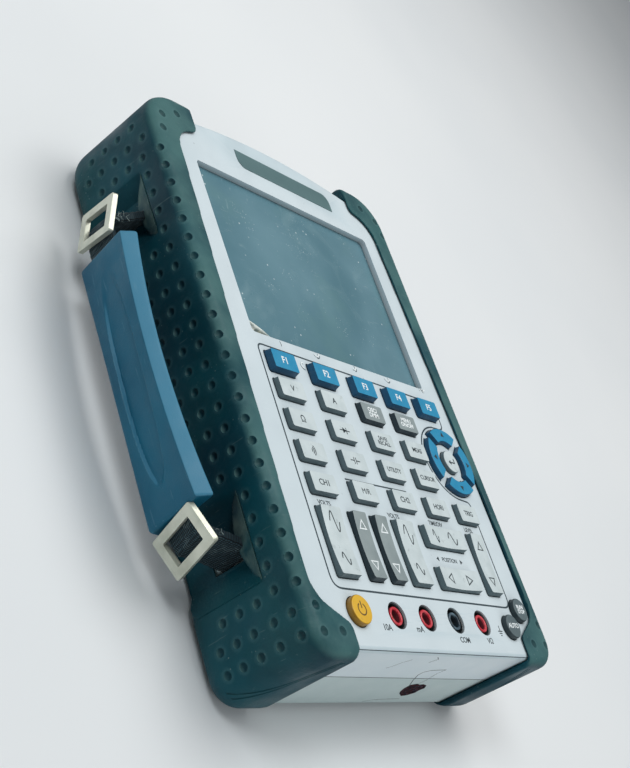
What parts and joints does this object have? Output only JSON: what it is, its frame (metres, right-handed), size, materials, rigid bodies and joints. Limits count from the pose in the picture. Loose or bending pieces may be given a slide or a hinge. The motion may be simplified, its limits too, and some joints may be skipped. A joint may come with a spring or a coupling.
{
  "type": "handheld oscilloscope",
  "caption": "Handheld oscilloscope and multimeter with rubber bumpers, display, keypad, banana jacks, hand strap and folding stand, lying on its back.",
  "frame": {"origin": "centre of the bottom of the box round the whole object, on the plane it lies on", "axes": "+Z out of the display, +Y towards the end with the signal inputs, +X to the right seen from the front"},
  "size_m": [0.1894, 0.2522, 0.0534],
  "materials": {
    "case": "fine moulded grain",
    "case_rear": "fine moulded grain",
    "bumper": "soft matte rubber with dimples",
    "lens": "worn clear acrylic",
    "display": "unlit liquid crystal",
    "board": "solder mask",
    "jack_red": "moulded",
    "jack_black": "moulded",
    "contact": "machined",
    "badge": "satin",
    "nickel": "nickel plated",
    "insulator": "moulded",
    "battery": "shrink sleeve",
    "screw": "zinc plated",
    "port": "moulded",
    "flap": "soft matte",
    "grip": "soft moulded pad",
    "webbing": "woven nylon",
    "buckle": "nickel plated",
    "key_light": "moulded rubber",
    "key_dark": "moulded rubber",
    "key_blue": "moulded rubber",
    "key_yellow": "moulded rubber"
  },
  "bodies": {
    "case": {"front_shell": "case", "rear_shell": "case_rear", "bumper_left": "bumper", "bumper_right": "bumper", "display_window": "lens", "lcd_module": "display", "main_board": "board", "keypad_board": "board", "jack_bodies_red": "jack_red", "jack_body_black": "jack_black", "jack_contacts": "contact", "badge_plate": "badge", "bnc_shells": "nickel", "bnc_insulators": "insulator", "battery_pack": "battery", "battery_cover": "case_rear", "case_screws": "screw", "io_ports": "port"},
    "tilt_stand": {"tilt_stand": "case_rear"},
    "hand_strap": {"strap_grip": "grip", "strap_webbing": "webbing", "strap_buckles": "buckle"},
    "port_flap": {"port_flap": "flap"},
    "key_f1": {"key_f1": "key_blue"},
    "rocker_volts_1": {"rocker_volts_1": "key_light"},
    "rocker_time_base": {"rocker_time_base": "key_light"},
    "arrow_up": {"arrow_up": "key_blue"},
    "key_power": {"key_power": "key_yellow"},
    "key_enter": {"key_enter": "key_light"},
    "key_f2": {"key_f2": "key_blue"},
    "key_f3": {"key_f3": "key_blue"},
    "key_f4": {"key_f4": "key_blue"},
    "key_f5": {"key_f5": "key_blue"},
    "key_volts": {"key_volts": "key_light"},
    "key_amps": {"key_amps": "key_light"},
    "key_scope_meter": {"key_scope_meter": "key_dark"},
    "key_menu_toggle": {"key_menu_toggle": "key_dark"},
    "key_ohms": {"key_ohms": "key_light"},
    "key_diode": {"key_diode": "key_light"},
    "key_save": {"key_save": "key_light"},
    "key_measure": {"key_measure": "key_light"},
    "key_continuity": {"key_continuity": "key_light"},
    "key_capacitance": {"key_capacitance": "key_light"},
    "key_utility": {"key_utility": "key_light"},
    "key_cursor": {"key_cursor": "key_light"},
    "key_channel_1": {"key_channel_1": "key_light"},
    "key_math_reference": {"key_math_reference": "key_light"},
    "key_channel_2": {"key_channel_2": "key_light"},
    "key_horizontal": {"key_horizontal": "key_light"},
    "key_trigger": {"key_trigger": "key_light"},
    "rocker_position_1": {"rocker_position_1": "key_dark"},
    "rocker_position_2": {"rocker_position_2": "key_dark"},
    "rocker_volts_2": {"rocker_volts_2": "key_light"},
    "rocker_position": {"rocker_position": "key_light"},
    "rocker_level": {"rocker_level": "key_light"},
    "arrow_left": {"arrow_left": "key_blue"},
    "arrow_down": {"arrow_down": "key_blue"},
    "arrow_right": {"arrow_right": "key_blue"},
    "key_run_stop": {"key_run_stop": "key_dark"},
    "key_auto": {"key_auto": "key_dark"}
  },
  "joints": [
    {"name": "tilt_stand_hinge", "type": "hinge", "parent": "case", "child": "tilt_stand", "pos_m": [0.0132, 0.0744, 0.0049], "axis": [1, 0, 0], "range_deg": [0, 65]},
    {"name": "hand_strap_swing", "type": "hinge", "parent": "case", "child": "hand_strap", "pos_m": [-0.0603, -0.0036, 0.0272], "axis": [0, 1, 0], "range_deg": [-8, 8], "stiffness_Nm_per_rad": 0.6},
    {"name": "port_flap_hinge", "type": "hinge", "parent": "case", "child": "port_flap", "pos_m": [0.0132, 0.1145, 0.0234], "axis": [-1, 0, 0], "range_deg": [0, 90]},
    {"name": "key_f1_press", "type": "slide", "parent": "case", "child": "key_f1", "axis": [0, 0, -1], "range_m": [0, 0.0012], "stiffness_N_per_m": 600},
    {"name": "rocker_volts_1_tilt", "type": "hinge", "parent": "case", "child": "rocker_volts_1", "pos_m": [-0.0371, -0.08285, 0.0479], "axis": [1, 0, 0], "range_deg": [-2.5, 2.5], "stiffness_Nm_per_rad": 0.25},
    {"name": "rocker_time_base_tilt", "type": "hinge", "parent": "case", "child": "rocker_time_base", "pos_m": [0.03803, -0.07385, 0.0479], "axis": [0, 1, 0], "range_deg": [-2.5, 2.5], "stiffness_Nm_per_rad": 0.25},
    {"name": "arrow_up_press", "type": "slide", "parent": "case", "child": "arrow_up", "axis": [0, 0, -1], "range_m": [0, 0.0012], "stiffness_N_per_m": 600},
    {"name": "key_power_press", "type": "slide", "parent": "case", "child": "key_power", "axis": [0, 0, -1], "range_m": [0, 0.0012], "stiffness_N_per_m": 600},
    {"name": "key_enter_press", "type": "slide", "parent": "case", "child": "key_enter", "axis": [0, 0, -1], "range_m": [0, 0.0012], "stiffness_N_per_m": 600},
    {"name": "key_f2_press", "type": "slide", "parent": "case", "child": "key_f2", "axis": [0, 0, -1], "range_m": [0, 0.0012], "stiffness_N_per_m": 600},
    {"name": "key_f3_press", "type": "slide", "parent": "case", "child": "key_f3", "axis": [0, 0, -1], "range_m": [0, 0.0012], "stiffness_N_per_m": 600},
    {"name": "key_f4_press", "type": "slide", "parent": "case", "child": "key_f4", "axis": [0, 0, -1], "range_m": [0, 0.0012], "stiffness_N_per_m": 600},
    {"name": "key_f5_press", "type": "slide", "parent": "case", "child": "key_f5", "axis": [0, 0, -1], "range_m": [0, 0.0012], "stiffness_N_per_m": 600},
    {"name": "key_volts_press", "type": "slide", "parent": "case", "child": "key_volts", "axis": [0, 0, -1], "range_m": [0, 0.0012], "stiffness_N_per_m": 600},
    {"name": "key_amps_press", "type": "slide", "parent": "case", "child": "key_amps", "axis": [0, 0, -1], "range_m": [0, 0.0012], "stiffness_N_per_m": 600},
    {"name": "key_scope_meter_press", "type": "slide", "parent": "case", "child": "key_scope_meter", "axis": [0, 0, -1], "range_m": [0, 0.0012], "stiffness_N_per_m": 600},
    {"name": "key_menu_toggle_press", "type": "slide", "parent": "case", "child": "key_menu_toggle", "axis": [0, 0, -1], "range_m": [0, 0.0012], "stiffness_N_per_m": 600},
    {"name": "key_ohms_press", "type": "slide", "parent": "case", "child": "key_ohms", "axis": [0, 0, -1], "range_m": [0, 0.0012], "stiffness_N_per_m": 600},
    {"name": "key_diode_press", "type": "slide", "parent": "case", "child": "key_diode", "axis": [0, 0, -1], "range_m": [0, 0.0012], "stiffness_N_per_m": 600},
    {"name": "key_save_press", "type": "slide", "parent": "case", "child": "key_save", "axis": [0, 0, -1], "range_m": [0, 0.0012], "stiffness_N_per_m": 600},
    {"name": "key_measure_press", "type": "slide", "parent": "case", "child": "key_measure", "axis": [0, 0, -1], "range_m": [0, 0.0012], "stiffness_N_per_m": 600},
    {"name": "key_continuity_press", "type": "slide", "parent": "case", "child": "key_continuity", "axis": [0, 0, -1], "range_m": [0, 0.0012], "stiffness_N_per_m": 600},
    {"name": "key_capacitance_press", "type": "slide", "parent": "case", "child": "key_capacitance", "axis": [0, 0, -1], "range_m": [0, 0.0012], "stiffness_N_per_m": 600},
    {"name": "key_utility_press", "type": "slide", "parent": "case", "child": "key_utility", "axis": [0, 0, -1], "range_m": [0, 0.0012], "stiffness_N_per_m": 600},
    {"name": "key_cursor_press", "type": "slide", "parent": "case", "child": "key_cursor", "axis": [0, 0, -1], "range_m": [0, 0.0012], "stiffness_N_per_m": 600},
    {"name": "key_channel_1_press", "type": "slide", "parent": "case", "child": "key_channel_1", "axis": [0, 0, -1], "range_m": [0, 0.0012], "stiffness_N_per_m": 600},
    {"name": "key_math_reference_press", "type": "slide", "parent": "case", "child": "key_math_reference", "axis": [0, 0, -1], "range_m": [0, 0.0012], "stiffness_N_per_m": 600},
    {"name": "key_channel_2_press", "type": "slide", "parent": "case", "child": "key_channel_2", "axis": [0, 0, -1], "range_m": [0, 0.0012], "stiffness_N_per_m": 600},
    {"name": "key_horizontal_press", "type": "slide", "parent": "case", "child": "key_horizontal", "axis": [0, 0, -1], "range_m": [0, 0.0012], "stiffness_N_per_m": 600},
    {"name": "key_trigger_press", "type": "slide", "parent": "case", "child": "key_trigger", "axis": [0, 0, -1], "range_m": [0, 0.0012], "stiffness_N_per_m": 600},
    {"name": "rocker_position_1_tilt", "type": "hinge", "parent": "case", "child": "rocker_position_1", "pos_m": [-0.01962, -0.08285, 0.0479], "axis": [1, 0, 0], "range_deg": [-2.5, 2.5], "stiffness_Nm_per_rad": 0.25},
    {"name": "rocker_position_2_tilt", "type": "hinge", "parent": "case", "child": "rocker_position_2", "pos_m": [-0.00594, -0.08285, 0.0479], "axis": [1, 0, 0], "range_deg": [-2.5, 2.5], "stiffness_Nm_per_rad": 0.25},
    {"name": "rocker_volts_2_tilt", "type": "hinge", "parent": "case", "child": "rocker_volts_2", "pos_m": [0.01005, -0.08285, 0.0479], "axis": [1, 0, 0], "range_deg": [-2.5, 2.5], "stiffness_Nm_per_rad": 0.25},
    {"name": "rocker_position_tilt", "type": "hinge", "parent": "case", "child": "rocker_position", "pos_m": [0.03803, -0.09185, 0.0479], "axis": [0, 1, 0], "range_deg": [-2.5, 2.5], "stiffness_Nm_per_rad": 0.25},
    {"name": "rocker_level_tilt", "type": "hinge", "parent": "case", "child": "rocker_level", "pos_m": [0.0641, -0.08285, 0.0479], "axis": [1, 0, 0], "range_deg": [-2.5, 2.5], "stiffness_Nm_per_rad": 0.25},
    {"name": "arrow_left_press", "type": "slide", "parent": "case", "child": "arrow_left", "axis": [0, 0, -1], "range_m": [0, 0.0012], "stiffness_N_per_m": 600},
    {"name": "arrow_down_press", "type": "slide", "parent": "case", "child": "arrow_down", "axis": [0, 0, -1], "range_m": [0, 0.0012], "stiffness_N_per_m": 600},
    {"name": "arrow_right_press", "type": "slide", "parent": "case", "child": "arrow_right", "axis": [0, 0, -1], "range_m": [0, 0.0012], "stiffness_N_per_m": 600},
    {"name": "key_run_stop_press", "type": "slide", "parent": "case", "child": "key_run_stop", "axis": [0, 0, -1], "range_m": [0, 0.0012], "stiffness_N_per_m": 600},
    {"name": "key_auto_press", "type": "slide", "parent": "case", "child": "key_auto", "axis": [0, 0, -1], "range_m": [0, 0.0012], "stiffness_N_per_m": 600}
  ]
}
